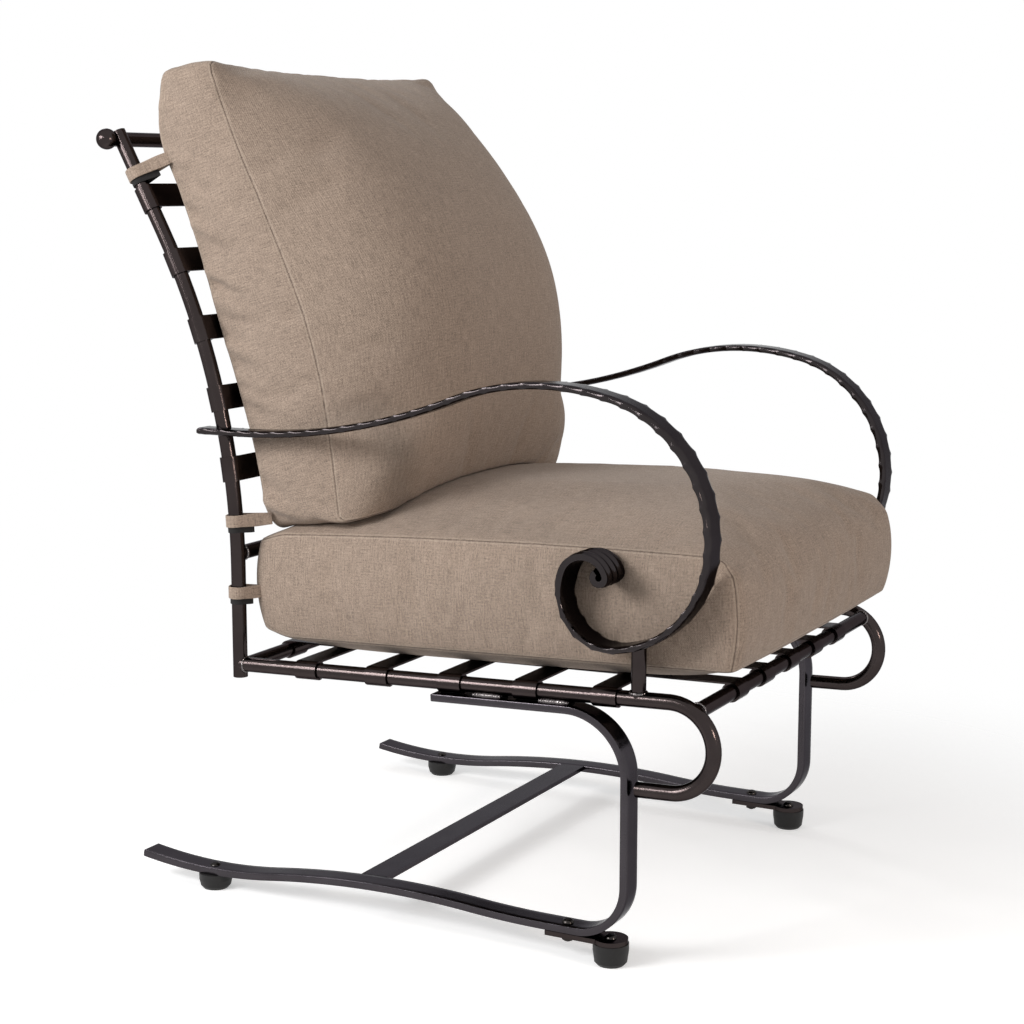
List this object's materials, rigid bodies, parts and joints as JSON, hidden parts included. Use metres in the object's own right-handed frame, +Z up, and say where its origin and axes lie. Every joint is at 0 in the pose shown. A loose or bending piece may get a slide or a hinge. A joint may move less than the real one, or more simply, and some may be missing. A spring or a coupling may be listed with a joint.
{
  "type": "spring base lounge chair",
  "caption": "Cushioned steel lounge chair whose strap-slung seat frame rocks on bent flat spring bars, with scrolled flat-bar arms and glide feet.",
  "frame": {"origin": "on the floor, under the middle of the chair's overall width and depth", "axes": "+Z up, the chair faces -Y, +X to the sitter's left"},
  "size_m": [0.673, 0.8758, 1.0682],
  "materials": {
    "frame_steel": "satin",
    "spring_steel": "satin",
    "plug_steel": "satin",
    "fastener_steel": "satin",
    "glide_plastic": "matte",
    "cushion_fabric": "woven",
    "cushion_fill": "foam",
    "closing_pad": "hook and loop"
  },
  "bodies": {
    "base": {"base_brace": "frame_steel", "foot_plate_left": "frame_steel", "foot_plate_nuts": "fastener_steel", "foot_plate_right": "frame_steel", "foot_plate_screws": "fastener_steel", "glide_front_left": "glide_plastic", "glide_front_right": "glide_plastic", "glide_rear_left": "glide_plastic", "glide_rear_right": "glide_plastic", "glide_screws": "fastener_steel", "spring_bar_left": "spring_steel", "spring_bar_right": "spring_steel"},
    "seat": {"arm_left": "frame_steel", "arm_post_left": "frame_steel", "arm_post_right": "frame_steel", "arm_right": "frame_steel", "back_cushion_core": "cushion_fill", "back_cushion_cover": "cushion_fabric", "back_strap_1": "frame_steel", "back_strap_2": "frame_steel", "back_strap_3": "frame_steel", "back_strap_4": "frame_steel", "back_strap_5": "frame_steel", "back_tie_lower_left": "cushion_fabric", "back_tie_lower_right": "cushion_fabric", "back_tie_upper_left": "cushion_fabric", "back_tie_upper_right": "cushion_fabric", "finials": "frame_steel", "front_seat_rail": "frame_steel", "loop_end_plugs": "plug_steel", "lower_back_rail": "frame_steel", "rear_seat_rail": "frame_steel", "seat_cross_strap_1": "frame_steel", "seat_cross_strap_2": "frame_steel", "seat_cross_strap_3": "frame_steel", "seat_cross_strap_4": "frame_steel", "seat_cross_strap_5": "frame_steel", "seat_cushion_core": "cushion_fill", "seat_cushion_cover": "cushion_fabric", "seat_long_strap_1": "frame_steel", "seat_long_strap_2": "frame_steel", "seat_long_strap_3": "frame_steel", "seat_long_strap_4": "frame_steel", "seat_long_strap_5": "frame_steel", "seat_tie_left": "cushion_fabric", "seat_tie_right": "cushion_fabric", "side_rail_left": "frame_steel", "side_rail_right": "frame_steel", "spring_bar_welds": "frame_steel", "tie_closing_pads": "closing_pad", "top_rail": "frame_steel", "upright_foot_plugs": "plug_steel", "upright_left": "frame_steel", "upright_right": "frame_steel", "upright_top_plugs": "plug_steel"}
  },
  "joints": [
    {"name": "seat_rock", "type": "hinge", "parent": "base", "child": "seat", "pos_m": [0, -0.3105, 0.165], "axis": [-1, 0, 0], "range_deg": [-3, 6], "stiffness_Nm_per_rad": 2400, "springref_deg": -1.86, "deforming": ["spring_bar_left", "spring_bar_right"]}
  ]
}
